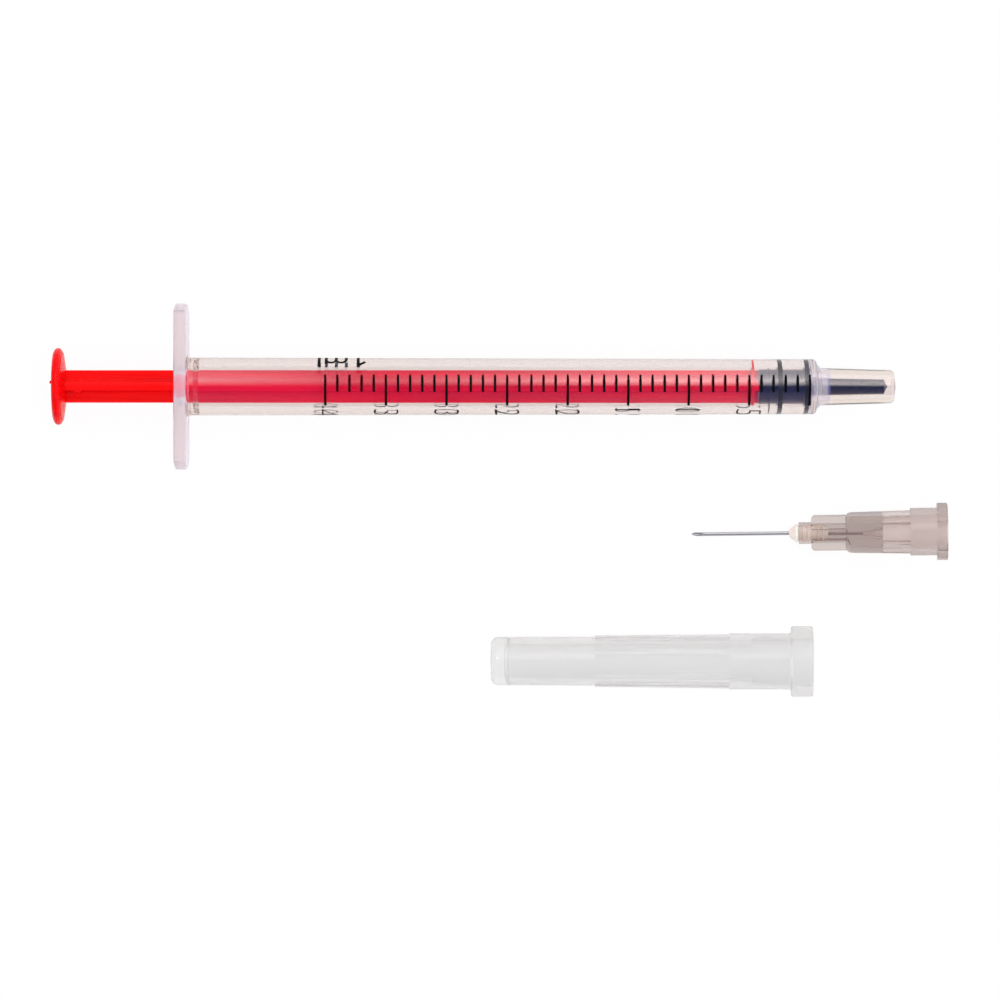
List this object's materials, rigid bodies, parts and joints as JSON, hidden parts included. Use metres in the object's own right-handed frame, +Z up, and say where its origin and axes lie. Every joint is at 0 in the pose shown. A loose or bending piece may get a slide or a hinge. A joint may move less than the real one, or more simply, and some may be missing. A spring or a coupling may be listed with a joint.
{
  "type": "insulin syringe",
  "caption": "Clear barrel with finger flange and tapered nozzle, red plunger with rubber stopper, and beside it a hub needle and its cap.",
  "frame": {"origin": "on the table, below the middle of the box round the whole laid out set", "axes": "+Z up from the table, +X along the set towards the nozzle and the mouth of the hub, +Y towards the syringe; the syringe leans 0.82 degrees nose down because it lies on its thumb disc and the front edge of its barrel"},
  "size_m": [0.1072, 0.0468, 0.0091],
  "materials": {
    "barrel_plastic": "clear moulded polypropylene",
    "rod_plastic": "moulded red plastic",
    "stopper_rubber": "siliconised rubber",
    "hub_plastic": "brown translucent polypropylene",
    "needle_steel": "drawn and ground stainless steel",
    "adhesive": "cured adhesive",
    "cap_plastic": "frosted clear polypropylene"
  },
  "bodies": {
    "barrel": {"barrel": "barrel_plastic"},
    "stopper": {"stopper": "stopper_rubber"},
    "plunger": {"plunger_rod": "rod_plastic"},
    "needle": {"needle_hub": "hub_plastic", "needle_cannula": "needle_steel", "needle_adhesive": "adhesive"},
    "cap": {"needle_cap": "cap_plastic"}
  },
  "joints": [
    {"name": "plunger_slide", "type": "slide", "parent": "barrel", "child": "stopper", "axis": [-0.9999, 0, 0.0143], "range_m": [0, 0.06561]},
    {"name": "plunger_twist", "type": "hinge", "parent": "stopper", "child": "plunger", "pos_m": [-0.03861, 0.0135, 0.00438], "axis": [0.9999, 0, -0.0143], "continuous": true},
    {"name": "needle_lift", "type": "slide", "parent": "barrel", "child": "needle", "axis": [0, 0, 1], "range_m": [0, 0.03]},
    {"name": "cap_lift", "type": "slide", "parent": "barrel", "child": "cap", "axis": [0, 0, 1], "range_m": [0, 0.03]}
  ]
}
